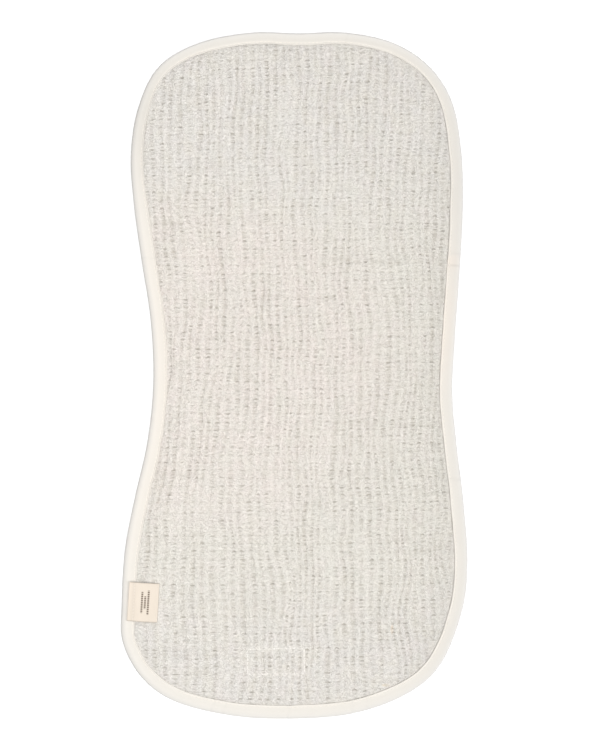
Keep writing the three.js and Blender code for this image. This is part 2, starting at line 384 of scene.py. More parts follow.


# Crinkled gauze. UV counts the crinkle's cells, so whole numbers are the places where the layers are tied;
# the attribute pinchShade is painted shade, 1 at ties, creases and the seam's groove, hollow is 1 at the
# bottom of a deep valley, where it also sets painted shade, and tone scales the colour, with painted shade
# beside the tape.
def muslinMaterial():
    look = muslinLook
    material, tree, shader = newMaterial("muslin", look["roughness"], look["sheen"])
    coords = addNode(tree, "ShaderNodeTexCoord")
    places, cells = coords.outputs["Object"], coords.outputs["UV"]
    crimp = useGroup(tree, crimpGroup, {"Vector": places, "Lumps": look["crimp"]["lumps"]})
    wander = noiseOf(tree, cells, look["wanderLumps"], Detail=2.0)[1]
    shift = vectorMath(tree, "SUBTRACT", wander, (0.5, 0.5, 0.5))
    moved = vectorMath(tree, "ADD", cells, vectorMath(tree, "MULTIPLY", shift, look["tieWander"]))
    pit = puffHighlight = rim = 0.0
    for tie in look["ties"]:
        at = vectorMath(tree, "ADD", moved, tie["offset"])
        inputs = {"Vector": at, "Size": tie["size"], "Least": tie["least"], "Most": tie["most"]}
        tied = useGroup(tree, tiesGroup, inputs)
        pit = math2(tree, "MAXIMUM", tied["Pit"], pit)
        rim = math2(tree, "MAXIMUM", tied["RimHighlight"], rim)
        puffHighlight = plus(tree, times(tree, tied["PuffHighlight"], tie["puffHighlight"]), puffHighlight)
    pinchShade, hollow, tone = (attributeOf(tree, key) for key in shadeKeys)
    pit = times(tree, pit, rangeOf(tree, hollow, 0.0, 0.7, look["pitOnRibs"], 1.0))
    ladder = useGroup(tree, crimpGroup, {"Vector": moved, "Lumps": look["ladder"]["lumps"]})
    laddered = rangeOf(tree, hollow, 0.1, 0.8, look["ladder"]["onRibs"], 1.0)
    rungShade, rungHeight = (times(tree, ladder[key], laddered) for key in ("Shade", "Height"))
    weave = useGroup(tree, weaveGroup, {"Vector": places, "Pitch": look["threadPitch"]})["Height"]
    patches = useGroup(tree, mottleGroup, {"Vector": places, "Scale": look["patchScale"]})["Value"]
    ragged = times(tree, math2(tree, "SUBTRACT", patches, 0.5), look["raggedness"])
    colour = look["grey"]
    for tint in muslinTints:
        off = vectorMath(tree, "SUBTRACT", places, tint["middle"])
        away = plus(tree, lengthOf(tree, vectorMath(tree, "DIVIDE", off, tint["half"])), ragged)
        colour = mixColour(tree, rangeOf(tree, away, 0.72, 1.28, 1.0, 0.0), colour, tint["colour"])
    hues = noiseOf(tree, stretched(tree, places, look["hues"]["lumps"]), 1.0, Detail=3.0, Roughness=0.6)[1]
    chances = addNode(tree, "ShaderNodeSeparateColor", {0: hues}).outputs
    for chance, (key, share) in zip(chances, look["hues"]["shares"].items()):
        colour = mixColour(tree, rangeOf(tree, chance, 0.42, 0.66, 0.0, share), colour, look[key])
    # Painted shade of ties, creases, crimp troughs, rungs and valleys, mixed towards pitShade; painted
    # highlight on crimp tops, between rows of ties and round them, mixed towards fuzzHighlight.
    shade = times(tree, math2(tree, "MAXIMUM", pit, pinchShade), look["pitShadeShare"])
    shade = math2(tree, "MAXIMUM", shade, times(tree, crimp["Shade"], look["crimp"]["shade"]))
    shade = math2(tree, "MAXIMUM", shade, times(tree, rungShade, look["ladder"]["shade"]))
    shade = plus(tree, shade, times(tree, hollow, look["hollowShade"]))
    fuzzHighlight = plus(tree, times(tree, crimp["FuzzHighlight"], look["crimp"]["fuzzHighlight"]), puffHighlight)
    fuzzHighlight = plus(tree, fuzzHighlight, times(tree, rim, look["rimHighlight"]))
    colour = mixColour(tree, fuzzHighlight, colour, look["fuzzHighlight"])
    colour = mixColour(tree, shade, colour, look["pitShade"])
    tree.links.new(scaleColour(tree, colour, tone), shader.inputs["Base Color"])
    height = times(tree, crimp["Height"], look["crimp"]["depth"])
    height = plus(tree, height, times(tree, rungHeight, look["ladder"]["depth"]))
    height = plus(tree, height, times(tree, weave, look["weaveDepth"]))
    bumpFrom(tree, math2(tree, "SUBTRACT", height, times(tree, pit, look["pitDepth"])), shader)
    return material


muslinCotton = muslinMaterial()

# Smooth cottons, each with two colours that it is mottled from. A weave is turned by some angle.
cottonMottle = {"scale": 40.0, "share": 0.6, "depth": 0.25 * mm}
cottons = {
    "tape": {
        "colours": ((0.712, 0.677, 0.622, 1), (0.69, 0.66, 0.605, 1)),
        "weave": {"pitch": 0.34 * mm, "turn": 0.8, "depth": 0.03 * mm},
    },
    "label": {
        "colours": ((0.705, 0.627, 0.538, 1), (0.675, 0.597, 0.508, 1)),
        "weave": {"pitch": 0.3 * mm, "turn": 0.0, "depth": 0.04 * mm},
    },
    "thread": {
        "colours": ((0.8, 0.75, 0.68, 1), (0.75, 0.7, 0.63, 1)),
        "weave": {"pitch": 0.2 * mm, "turn": 0.6, "depth": 0.04 * mm},
    },
    "patch": {
        "colours": ((0.88, 0.85, 0.81, 1), (0.84, 0.81, 0.77, 1)),
        "weave": {"pitch": 0.2 * mm, "turn": 0.6, "depth": 0.03 * mm},
    },
}
# foldShade is the grey of the painted shade near the fold.
tapeLook = {"warm": (0.735, 0.675, 0.605, 1), "foldShade": (0.692, 0.678, 0.655, 1)}


# Smooth cotton of the binding, the label and the threads: a fine weave on the piece's own UV in metres,
# and a slight mottle.
def cottonMaterial(name, kind, roughness=0.85, sheen=0.1):
    weave, mottle = cottons[kind]["weave"], cottonMottle
    material, tree, shader = newMaterial(name, roughness, sheen)
    coords = addNode(tree, "ShaderNodeTexCoord").outputs["UV"]
    turned = addNode(tree, "ShaderNodeMapping", {0: coords, 2: (0.0, 0.0, weave["turn"])}).outputs[0]
    threads = useGroup(tree, weaveGroup, {"Vector": turned, "Pitch": weave["pitch"]})["Height"]
    patches = useGroup(tree, mottleGroup, {"Vector": coords, "Scale": mottle["scale"]})["Value"]
    mottled = rangeOf(tree, patches, 0.3, 0.7, 0.0, mottle["share"])
    mixed = mixColour(tree, mottled, *cottons[kind]["colours"])
    tree.links.new(mixed, shader.inputs["Base Color"])
    height = times(tree, threads, weave["depth"])
    bumpFrom(tree, plus(tree, height, times(tree, patches, mottle["depth"])), shader)
    return material, tree, shader, coords, mixed


# The binding's cotton: warm where its attribute warm is 1, mixed towards a grey painted shade near the fold,
# where foldShade is 1, and scaled by tone, which holds painted light and shade along with the tints.
def tapeMaterial():
    material, tree, shader, _, mixed = cottonMaterial("bindingTape", "tape")
    mixed = mixColour(tree, attributeOf(tree, "warm"), mixed, tapeLook["warm"])
    mixed = mixColour(tree, attributeOf(tree, "foldShade"), mixed, tapeLook["foldShade"])
    tree.links.new(scaleColour(tree, mixed, attributeOf(tree, "tone")), shader.inputs["Base Color"])
    return material


tapeCotton = tapeMaterial()
threadCotton = cottonMaterial("sewingThread", "thread", 0.7)[0]
patchCotton = cottonMaterial("patchThread", "patch", 0.7)[0]

labelPrint = {
    "rows": ((10.1, 16.0), (12.4, 9.5), (14.8, 18.5)),  # mm from the sewn end, and mm long
    "rowWidth": 1.45,  # mm
    "soft": 0.1,  # mm that a row's sides fade over, inside and outside
    "dash": 1.6,  # mm, from one dash to the next
    "dashEnd": (0.68, 0.78),  # where a dash fades out, as a share of the way to the next
    "strength": 0.9,
    "ink": (0.12, 0.085, 0.06, 1),
}

# Soft darker bands on the label, across u or v: the place of the middle, where the band begins to fade and
# where it ends on either side, in mm, and how much darker it is.
labelShades = table(
    "across middle near far share",
    ("u", 3.0, 0.4, 2.4, 0.05),
    ("u", 19.0, 4.0, 11.0, 0.065),
    # The band across v at the label's lower edge is painted shadow.
    ("v", -14.9, 0.3, 1.1, 0.22),
)


# Label tape with plain rows of equal dashes; UV is in metres, u from the sewn end and v along each row.
def labelMaterial():
    material, tree, shader, coords, mixed = cottonMaterial("labelTape", "label")
    split = addNode(tree, "ShaderNodeSeparateXYZ", {0: coords})
    u, v = (times(tree, split.outputs[k], 1 / mm) for k in (0, 1))
    half, soft = labelPrint["rowWidth"] / 2, labelPrint["soft"]
    ink = 0.0
    for row, length in labelPrint["rows"]:
        off = math2(tree, "ABSOLUTE", math2(tree, "SUBTRACT", u, row))
        inRow = math2(tree, "LESS_THAN", math2(tree, "ABSOLUTE", v), length / 2)
        inRow = times(tree, inRow, rangeOf(tree, off, half - soft, half + soft, 1.0, 0.0))
        ink = math2(tree, "MAXIMUM", inRow, ink)
    phase = math2(tree, "FRACT", math2(tree, "DIVIDE", plus(tree, v, 100.0), labelPrint["dash"]))
    dashes = rangeOf(tree, phase, *labelPrint["dashEnd"], 1.0, 0.0)
    ink = times(tree, ink, times(tree, dashes, labelPrint["strength"]))
    colour = mixColour(tree, ink, mixed, labelPrint["ink"])
    for band in labelShades:
        across = u if band["across"] == "u" else v
        off = math2(tree, "ABSOLUTE", math2(tree, "SUBTRACT", across, band["middle"]))
        fade = rangeOf(tree, off, band["near"], band["far"], 1 - band["share"], 1.0)
        colour = scaleColour(tree, colour, fade)
    tree.links.new(colour, shader.inputs["Base Color"])
    return material


labelCotton = labelMaterial()
print("materials made")


# The muslin

muslin = {
    "crest": 3.1 * mm,  # height of the ribs' tops, as in the frame
    "relief": 0.62 * mm,  # from a deep valley to the ribs beside it
    "seamHeight": 2.5 * mm,  # under the tape
    "seamReach": 2.2 * mm,  # how far from the tape it takes to swell to full height
    "seamDip": {"left": 0.15 * mm, "right": 0.4 * mm, "head": 0.5 * mm, "foot": 0.5 * mm},  # painted shade in the groove beside the tape
    "dipWidth": 0.8 * mm,
    "groove": {"left": 0.0, "right": 0.16, "head": 0.35, "foot": 0.6},  # how tight the seam pulls it
    "grooveIn": 0.3 * mm,  # from the tape's inner edge
    "grooveWidth": 0.6 * mm,
    "rimInset": 2.6 * mm,  # its cut edge, inside the fold of the tape
    "middle": 1.55 * mm,  # where the front and the back meet
    "gap": 0.05 * mm,  # that each face keeps from there, and the back from the floor
    "pitchLeft": 6.9 * mm,  # rib pitch at the left edge and at the right edge
    "pitchRight": 5.8 * mm,
    "middleValley": -3 * mm,  # where it lies in x
    "fan": 0.35,  # how much wider, per metre towards the foot, the ribs in the left half grow
    "rowPitch": 6.2 * mm,  # between ties along a valley
    "tieDepth": 0.3 * mm,
    "swell": 0.12 * mm,  # slow unevenness of the face's height
    "sway": 1.5 * mm,  # of a group of valleys together
    "wave": 1.1 * mm,  # of a few neighbouring valleys together
    "wander": 0.8 * mm,  # of each valley by itself
    "uneven": 0.12,  # deviation of the valleys' spacing, as a share of the pitch
    "tilt": 0.9 * mm,  # of a group of rows together
    "rowShift": 0.5 * mm,  # of each row by itself
    "jitter": 0.25 * mm,  # of each tie along its valley
}
columns, rows = 48, 92  # the valleys and the rows of ties, some of them beyond the edge

# A valley's depth along its run, as a share of the relief: mean, deviation and limits.
valleyDepth = {"mean": 0.85, "varies": 0.25, "least": 0.2, "most": 1.4}

# A tie's half sizes in cells, how much wider the widest are, the deviation of its slant, the limits of its
# depth as a share of tieDepth, and the darkness of its painted shade.
tieShape = {"across": 0.12, "wider": 0.2, "along": 0.12, "slant": 0.5, "depths": (0.2, 1.2), "shade": 0.3}

# Painted shade on the muslin beside the tape: all round and, over a broader strip, on the right.
edgeShade = {"round": 0.045, "reach": 5 * mm, "right": 0.065, "reachRight": 18 * mm}

# How far the outline's two waists draw the nearest valleys in, by side, along which length of y, and the x
# where the pull is full; it grows as x^2.
waistPull = {"left": 13 * mm, "right": 5 * mm, "reach": 95 * mm, "full": 125 * mm}

# Creases that run across the ribs, as they lie in the photograph, in mm: their ends in x, the height y at
# the first end and how far they rise to the other. The two long ones are where the cloth was folded.
creases = table(
    "from to y rise depth",
    (-106, 112, 90, -2, 0.25),
    (-114, 118, -75, 1, 0.3),
    (-109, -84, 116, -1, 0.45),
    (-105, -88, 92.5, 0, 0.75),
    (24, 83, 88, -3, 0.65),
    (44, 58, 94, 0, 0.45),
    (-29, 31, 60, -1, 0.5),
    (-98, -79, -31.5, 0, 0.45),
    (22, 107, -35, -3, 0.45),
    (-113, -81, -73, -3, 0.5),
    (4, 24, -97, -2, 0.55),
    (-3, 52, -121, 11, 0.45),
    (64, 86, -125, 0, 0.5),
    (88, 118, -134, 5, 0.6),
    (-103, -58, -212, 0, 0.6),
    (-87, -62, -225, 0, 0.45),
    (20, 52, -216, 1, 0.4),
    (-18, 2, -226.5, 0, 0.5),
    # The last one lies just below the label's lower edge: a shallow trough whose darkness is painted shadow
    # of the label.
    (-121, -106, -186.6, -0.9, 0.9),
)
# A crease's shape; pinchShade says how dark its painted shade is.
creaseShape = {
    "width": 1.1 * mm,
    "fade": 3 * mm,  # at its ends
    "sink": 0.55 * mm,
    "bow": 0.6 * mm,
    "bowLength": 4 * mm,
    "pinchShade": 1.3,
    "onRibs": 0.2,  # how much of its darkness is left on top of a rib
}

# A line of painted shade, as in a groove, on the muslin beside the tape, just below the lap.
seamShadeLine = {
    "from": 40 * mm,  # its ends in y, and how far it fades in and out
    "to": 86 * mm,
    "fadeIn": 12 * mm,
    "fadeOut": 2 * mm,
    "inside": 3.1 * mm,  # from the tape's inner edge
    "width": 0.8 * mm,
    "depth": 0.4,
}

# The stitched rectangle near the foot that holds something on the back, and how its line presses the muslin:
# over what width, how much it flattens it, sinks it and lightens it.
patchStitch = {"x": -13.8 * mm, "y": -216.5 * mm, "width": 43 * mm, "height": 19 * mm, "turn": 0.01}
patchPitch = 3.0 * mm
patchPress = {"width": 1.4 * mm, "flatten": 0.75, "sink": 0.35 * mm, "lighten": 0.05}


# Distance from the rectangle's line: |max(|u| - w/2, |v| - h/2)| near it, with (u, v) in its own axes.
def patchDistance(x, y):
    c, s = math.cos(patchStitch["turn"]), math.sin(patchStitch["turn"])
    dx, dy = x - patchStitch["x"], y - patchStitch["y"]
    u, v = np.abs(dx * c + dy * s), np.abs(dy * c - dx * s)
    return np.abs(np.maximum(u - patchStitch["width"] / 2, v - patchStitch["height"] / 2))


# The tie points: valley i and row j cross at (x, y)[i, j]. Valleys are spaced by a pitch that changes
# across the cloth, wander by smooth noise and lean in with the waists; rows sway and shift a little from
# valley to valley.
def tieLattice(seed):
    pitches = np.linspace(muslin["pitchLeft"], muslin["pitchRight"], columns)
    random = np.random.default_rng(seed)
    valleys = np.cumsum(pitches * (1 + muslin["uneven"] * random.standard_normal(columns)))
    valleys += muslin["middleValley"] - valleys[columns // 2]
    x, y = np.meshgrid(valleys, (np.arange(rows) - rows / 2 + 0.5) * muslin["rowPitch"], indexing="ij")
    x = np.where(x < 0, x * (1 - muslin["fan"] * y), x)
    pull = bell(y, waistPull["reach"]) * np.where(x < 0, waistPull["left"], -waistPull["right"])
    shift = muslin["sway"] * softNoise(x.shape, (3, 6), seed + 1)
    shift += muslin["wave"] * softNoise(x.shape, (1.8, 1.8), seed + 8)
    shift += muslin["wander"] * softNoise(x.shape, (0.5, 1.3), seed + 2)
    lift = muslin["tilt"] * softNoise(x.shape, (5, 9), seed + 3)
    lift += muslin["rowShift"] * softNoise(x.shape, (9, 0.4), seed + 9)
    lift += muslin["jitter"] * softNoise(x.shape, (0.5, 1.0), seed + 4)
    return x + pull * np.minimum(np.abs(x) / waistPull["full"], 1) ** 2 + shift, y + lift


# Values at fractional lattice places, mixed from the four corners of their cell.
def inCells(corners, c, r):
    i, j = np.minimum(c, columns - 2).astype(int), np.minimum(r, rows - 2).astype(int)
    s, t = c - i, r - j
    left = corners[i, j] * (1 - t) + corners[i, j + 1] * t
    right = corners[i + 1, j] * (1 - t) + corners[i + 1, j + 1] * t
    return left * (1 - s) + right * s


# Height of the crinkled face, and its painted shade. With ds and dt the distances in cells from the nearest
# valley and row, a valley is cos^2(pi ds) deep, times a strength that comes and goes along it, so that ribs
# merge where it fades; a tie is a pit exp(-(ds / across)^2 - (dt / along)^2) in it; a crease is a trough
# across the ribs.
# Ties and creases also give pinchShade, painted shade, which for a crease is darkest in valleys.
def crinkleHeight(x, y, c, r, seed):
    shape = (columns, rows)
    i, j = np.round(c).astype(int), np.round(r).astype(int)
    ds, dt = c - i, r - j
    strength = valleyDepth["mean"] + valleyDepth["varies"] * softNoise(shape, (0.4, 2.8), seed + 5)
    strength = np.clip(strength, valleyDepth["least"], valleyDepth["most"])
    hollow = inCells(strength, i, r) * np.cos(math.pi * ds) ** 2
    random = np.random.default_rng(seed + 7)
    depth = random.uniform(*tieShape["depths"], shape)[i, j]
    spread = tieShape["across"] + tieShape["wider"] * random.uniform(0, 1, shape)[i, j] ** 3
    slant = random.normal(0, tieShape["slant"], shape)[i, j]
    height = -muslin["relief"] * hollow
    height += muslin["swell"] * inCells(softNoise(shape, (0.7, 2), seed + 6), c, r)
    pinchShade = depth * np.exp(-((ds / spread) ** 2) - ((dt - slant * ds) / tieShape["along"]) ** 2)
    height -= muslin["tieDepth"] * hollow * pinchShade
    pinchShade *= tieShape["shade"]
    for crease in creases:
        reach = (crease["to"] - crease["from"]) / 2 * mm
        middle = (crease["to"] + crease["from"]) / 2 * mm
        rise = crease["rise"] * mm * ((x - middle) / reach + 1) / 2
        bow = creaseShape["bow"] * np.sin((x - middle) / creaseShape["bowLength"]) + rise
        trough = bell(y - crease["y"] * mm - bow, creaseShape["width"])
        trough *= smoothStep((reach - np.abs(x - middle)) / creaseShape["fade"] + 0.5) * crease["depth"]
        height -= creaseShape["sink"] * trough
        dark = creaseShape["onRibs"] + (1 - creaseShape["onRibs"]) * np.minimum(hollow, 1)
        pinchShade = np.maximum(pinchShade, creaseShape["pinchShade"] * trough * dark)
    return height, pinchShade, hollow


# Where the samples lie in a cell: closest together at the valley and at the row of ties.
muslinSteps = {5: np.array((0, 0.13, 0.36, 0.64, 0.87)), 3: np.array((0, 0.25, 0.75))}


# One face of the muslin: a grid of some samples in each cell, cut off along the outline inside the tape,
# closed by a flat fan at the middle. The back is the same face, turned over.
def muslinFace(name, seed, samples, turnedOver):
    across = (np.arange(columns - 1)[:, None] + muslinSteps[samples]).ravel()
    along = (np.arange(rows - 1)[:, None] + muslinSteps[samples]).ravel()
    c, r = np.meshgrid(across, along, indexing="ij")
    latticeX, latticeY = tieLattice(seed)
    quads = gridFaces(*c.shape)
    c, r = c.ravel(), r.ravel()
    x, y = inCells(latticeX, c, r), inCells(latticeY, c, r)
    flat = np.stack([x, y], axis=1)
    station = nearest(flat, outline)
    inside = ((flat - outline[station]) * inwards[station]).sum(axis=1)
    quads = quads[inside[quads].mean(axis=1) > muslin["rimInset"]]
    kept, quads = np.unique(quads, return_inverse=True)
    quads = quads.reshape(-1, 4)
    x, y, c, r, station, inside = x[kept], y[kept], c[kept], r[kept], station[kept], inside[kept]
    pressed = bell(patchDistance(x, y), patchPress["width"]) * (not turnedOver)
    left = 1 - patchPress["flatten"] * pressed
    relief, pinchShade, hollow = (v * left for v in crinkleHeight(x, y, c, r, seed))
    fromSeam = inside - tapeWidth[station]
    swell = 1 - np.exp(-np.maximum(fromSeam, 0) / muslin["seamReach"])
    full = muslin["crest"] + relief - patchPress["sink"] * pressed**4
    z = muslin["seamHeight"] + (full - muslin["seamHeight"]) * swell
    z -= bySide(**muslin["seamDip"])[station] * bell(fromSeam, muslin["dipWidth"])
    sides = np.sort(np.concatenate([quads[:, [k, (k + 1) % 4]] for k in range(4)]), axis=1)
    ends, uses = np.unique(sides, axis=0, return_counts=True)
    rim = np.unique(ends[uses == 1])
    at = station[rim]
    slide = ((np.stack([x, y], axis=1)[rim] - outline[at]) * alongEdge[at]).sum(axis=1)
    cut = outline[at] + inwards[at] * muslin["rimInset"] + alongEdge[at] * slide[:, None]
    x[rim], y[rim], z[rim] = cut[:, 0], cut[:, 1], muslin["middle"] + muslin["gap"]
    if turnedOver:
        z, quads = edge["height"] - np.minimum(z, edge["height"] - muslin["gap"]), quads[:, ::-1]
    uv = np.stack([c, r], axis=1)[quads]
    # Painted shade in the groove beside the tape and, on the front, along the seam's line of painted shade.
    groove = bySide(**muslin["groove"])[station]
    groove = groove * bell(fromSeam - muslin["grooveIn"], muslin["grooveWidth"])
    if not turnedOver:
        line = smoothStep((y - seamShadeLine["from"]) / seamShadeLine["fadeIn"])
        line *= smoothStep((seamShadeLine["to"] - y) / seamShadeLine["fadeOut"])
        line *= bySide(right=seamShadeLine["depth"])[station]
        groove = np.maximum(groove, line * bell(fromSeam - seamShadeLine["inside"], seamShadeLine["width"]))
    # The tone carries painted shade beside the tape, and is lighter along the rectangle's line.
    off = np.maximum(fromSeam, 0)
    tone = 1 - edgeShade["round"] * np.exp(-off / edgeShade["reach"])
    tone -= bySide(right=edgeShade["right"])[station] * np.exp(-off / edgeShade["reachRight"])
    tone += patchPress["lighten"] * pressed
    shade = dict(zip(shadeKeys, (np.clip(np.maximum(pinchShade * swell, groove), 0, 1), hollow * swell, tone)))
    piece = makePiece(name, np.stack([x, y, z], axis=1), quads, muslinCotton, uv, shade)
    shell = bmesh.new()
    shell.from_mesh(piece.data)
    bmesh.ops.poke(shell, faces=bmesh.ops.holes_fill(shell, edges=shell.edges, sides=0)["faces"])
    shell.to_mesh(piece.data)
    shell.free()
    return piece


muslinFront = muslinFace("muslin_front", 11, 5, False)
muslinBack = muslinFace("muslin_back", 71, 3, True)
print("muslin made:", len(muslinFront.data.polygons), "and", len(muslinBack.data.polygons), "faces")


# The binding

tape = {
    "thickness": 0.55 * mm,
    "lip": 0.4 * mm,  # radius of its turned edge
    "lipDrop": {"left": 0.35 * mm, "right": 0.65 * mm, "head": 0.65 * mm, "foot": 0.65 * mm},
    "stitchIn": 1.3 * mm,  # the stitch line, from the inner edge
    "stitchPitch": 3.0 * mm,
    "groove": 0.24 * mm,
    "grooveWidth": 0.38 * mm,
    "needle": 0.25,  # half of what the groove's depth changes by along a stitch, as a share
    "bead": 0.1 * mm,  # along the inner edge
    "beadIn": 0.5 * mm,
    "beadWidth": 0.45 * mm,
    "crown": 0.16 * mm,
    "pucker": 0.05 * mm,
    "puckerReach": 3 * mm,  # from the inner edge; the rest of the tape puckers less
    "puckerRest": 0.8,
    "wider": 0.3 * mm,  # than what is read from the frame
    "uneven": 0.12 * mm,  # deviation of its width
    "sunk": 0.08 * mm,  # its flat face, below the frame's
    "seam": 2.6 * mm,  # the part with the stitches, whose mesh is finer
    "slant": 0.15,  # of the creases, along the edge for each metre outwards
    "creaseWidth": 0.8 * mm,
    "creaseShade": 0.35,
    "swell": 0.5,  # beside a crease, as a share of its depth
    "swellAway": 1.6 * mm,
    "swellWidth": 1.0 * mm,
    "foldShadeReach": 2.6 * mm,
    "lapPlace": (125 * mm, 86.8 * mm),
    "lapLength": 9 * mm,
    "lapRise": 0.28 * mm,
    "lapFade": 0.7 * mm,
    "lapSlant": 1.2 * mm,  # from its inner to its outer end
    "lapShades": (0.1, 0.03),  # of its two ends
}
lapRun = runAt(*tape["lapPlace"])
stitchCount = round(perimeter / tape["stitchPitch"])

# Slight creases across the tape, as they lie in the photograph: a place near each one, and its depth.
tapeCreases = table(
    "x y depth",
    (122, -77, 0.16),
    (-115, 87, 0.12),
    (39, 256, 0.1),
    (-3, -256, 0.12),
    (-60, -250, 0.12),
    (-52, -253, 0.1),
    (45, -252, 0.1),
    (56, -249, 0.08),
)

# Parts of the tape that look darker or warmer than the rest, along the edge: a place near the middle of
# each one and how far it reaches, in mm, and by how much.
tapeTints = table(
    "x y reach tone warm",
    (-105, 190, 50, -0.075, 0.0),
    (118, 150, 60, -0.03, 0.0),
    (-118, 0, 130, 0.0, 0.5),
    (112, 35, 45, 0.0, 0.8),
    (122, 86, 5, 0.0, 0.9),
)

# Painted light and shade: how light the tape is made from the fold, at 0, to its inner edge, at 1, on each
# side of the cloth.
tapeLightAndShade = table(
    "at left right head foot",
    (0.0, 0.78, 0.87, 0.96, 0.88),
    (0.1, 0.81, 0.885, 0.965, 0.885),
    (0.2, 0.875, 0.89, 0.96, 0.92),
    (0.4, 0.965, 0.885, 0.935, 0.94),
    (0.62, 0.935, 0.905, 0.89, 0.93),
    (0.85, 0.91, 0.95, 0.965, 0.965),
    (1.0, 0.95, 1.0, 0.97, 1.04),
)


def fromCrease(crease, e):  # distance along the edge from a crease, at distances e from the inner edge
    return runFrom(runAt(crease["x"] * mm, crease["y"] * mm))[:, None] - tape["slant"] * e


def lapHeight(off):  # off is the distance along the edge from the lap's middle
    return tape["lapRise"] * smoothStep((tape["lapLength"] / 2 - np.abs(off)) / tape["lapFade"] + 0.5)


# The tape's tints and painted light and shade at distances d inside the outline on a tape w wide; all sides
# turn to the grey painted shade towards the fold, as exp(-d / reach), and the creases and the ends of the lap
# are fine lines of painted shade.
def tapeShades(d, w):
    tone = 0 * d
    for k, row in enumerate(tapeLightAndShade):
        share = np.interp(d / w, [row["at"] for row in tapeLightAndShade], np.eye(len(tapeLightAndShade))[k])
        tone += bySide(*(row[side] for side in ("left", "right", "head", "foot")))[:, None] * share
    warm = 0 * tone
    for tint in tapeTints:
        near = bell(runFrom(runAt(tint["x"] * mm, tint["y"] * mm)), tint["reach"] * mm)[:, None]
        tone += tint["tone"] * near
        warm += tint["warm"] * near
    for crease in tapeCreases:
        dark = bell(fromCrease(crease, w - d), tape["creaseWidth"])
        tone -= tape["creaseShade"] * crease["depth"] * dark
    for side, depth in zip((0.5, -0.5), tape["lapShades"]):
        tone -= depth * bell(runFrom(lapRun)[:, None] - side * tape["lapLength"], tape["lapFade"])
    return {"tone": tone, "warm": np.clip(warm, 0, 1), "foldShade": np.exp(-d / tape["foldShadeReach"])}


# Height of the tape's upper face above its flat level, e from its inner edge and w wide: a groove along
# the stitches, a soft crown, a puckered lip, the lapped ends and the creases.
def tapeRelief(e, w):
    run = edgeRun[:, None]
    needle = 1 - tape["needle"] + tape["needle"] * np.cos(2 * math.pi * run / perimeter * stitchCount)
    relief = -tape["groove"] * bell(e - tape["stitchIn"], tape["grooveWidth"]) * needle
    relief += tape["bead"] * bell(e - tape["beadIn"], tape["beadWidth"])
    past = np.clip((e - tape["stitchIn"]) / (w - 2 * tape["stitchIn"]), 0, 1)
    relief += tape["crown"] * np.sin(math.pi * past)
    ripple = softNoise((len(outline), e.shape[1]), (1.3, 3), 5) * bell(e, tape["puckerReach"])
    ripple += tape["puckerRest"] * softNoise((len(outline), e.shape[1]), (5, 6), 6)
    relief += tape["pucker"] * ripple
    relief += lapHeight(runFrom(lapRun)[:, None] - tape["lapSlant"] * (e / w - 0.5))
    for crease in tapeCreases:
        off = fromCrease(crease, e)
        dent = bell(off, tape["creaseWidth"])
        dent -= tape["swell"] * bell(off - tape["swellAway"], tape["swellWidth"])
        relief -= crease["depth"] * mm * dent
    return relief


# Half of the tape's section, from its inner edge to the fold, as distances e from the inner edge and
# heights z: the lip is a quarter ellipse, the face is flat but for its relief.
def flap(w, coarse):
    lip = np.linspace(0, math.pi / 2, 6)[None, :-1]
    near = np.linspace(tape["lip"], tape["seam"], 6 if coarse else 13)[None, :]
    far = np.linspace(0, 1, 6 if coarse else 12)[None, 1:] * (w - edge["height"] / 2 - tape["seam"])
    e = [tape["lip"] * (1 - np.cos(lip)) + 0 * w, near + 0 * w, tape["seam"] + far]
    e = np.concatenate(e, axis=1)
    drop = np.zeros_like(e)
    drop[:, : lip.shape[1]] = bySide(**tape["lipDrop"])[:, None] * (1 - np.sin(lip))
    return e, edge["height"] - drop - tape["sunk"] + tapeRelief(e, w)


# The tape folded round the edge: upper face, fold as a half circle, lower face, and the inner faces back.
def makeBinding():
    w = (tapeWidth + tape["wider"])[:, None] + tape["uneven"] * softNoise((len(outline), 1), (3, 1), 8)
    radius = edge["height"] / 2
    e, z = flap(w, False)
    eUnder, zUnder = flap(w, True)
    turn = np.linspace(0, math.pi, 15)[None, 1:-1]
    lean = (z[:, -1:] - edge["height"]) * (1 + np.cos(turn)) / 2
    fold = radius * (1 - np.sin(turn)), radius * (1 + np.cos(turn)) + lean
    innerRadius = radius - tape["thickness"]
    innerTurn = np.linspace(math.pi, 0, 9)[None, :]
    back = np.linspace(0, 1, 5)[None, 1:]
    innerFold = radius - innerRadius * np.sin(innerTurn), radius + innerRadius * np.cos(innerTurn)
    inUnder = w - tape["lip"] / 2 + back[:, ::-1] * (radius - w + tape["lip"] / 2)
    inOver = radius + back * (w - tape["lip"] / 2 - radius)
    d = [w - e, fold[0] + 0 * w, (w - eUnder)[:, ::-1], inUnder, innerFold[0] + 0 * w, inOver]
    under = edge["height"] - np.minimum(zUnder[:, ::-1], edge["height"])
    heights = [z, fold[1], under, 0 * inUnder + tape["thickness"]]
    heights += [innerFold[1] + 0 * w, 0 * inOver + edge["height"] - tape["thickness"]]
    d, z = np.concatenate(d, axis=1), np.concatenate(heights, axis=1)
    flat = outline[:, None] + inwards[:, None] * d[..., None]
    places = np.concatenate([flat, z[..., None]], axis=2)
    across = np.cumsum(np.hypot(np.diff(d, prepend=d[:, :1]), np.diff(z, prepend=z[:, :1])), axis=1)
    quads = gridFaces(*d.shape, wrapRows=True, wrapColumns=True)
    i, j = quads // d.shape[1], quads % d.shape[1]
    run = np.where((i == 0) & (i.max(axis=1, keepdims=True) == len(d) - 1), perimeter, edgeRun[i])
    uv = np.stack([run, across[i, j]], axis=-1)
    shades = {key: values.ravel() for key, values in tapeShades(d, w).items()}
    return makePiece("edge_tape", places.reshape(-1, 3), quads, tapeCotton, uv, shades)


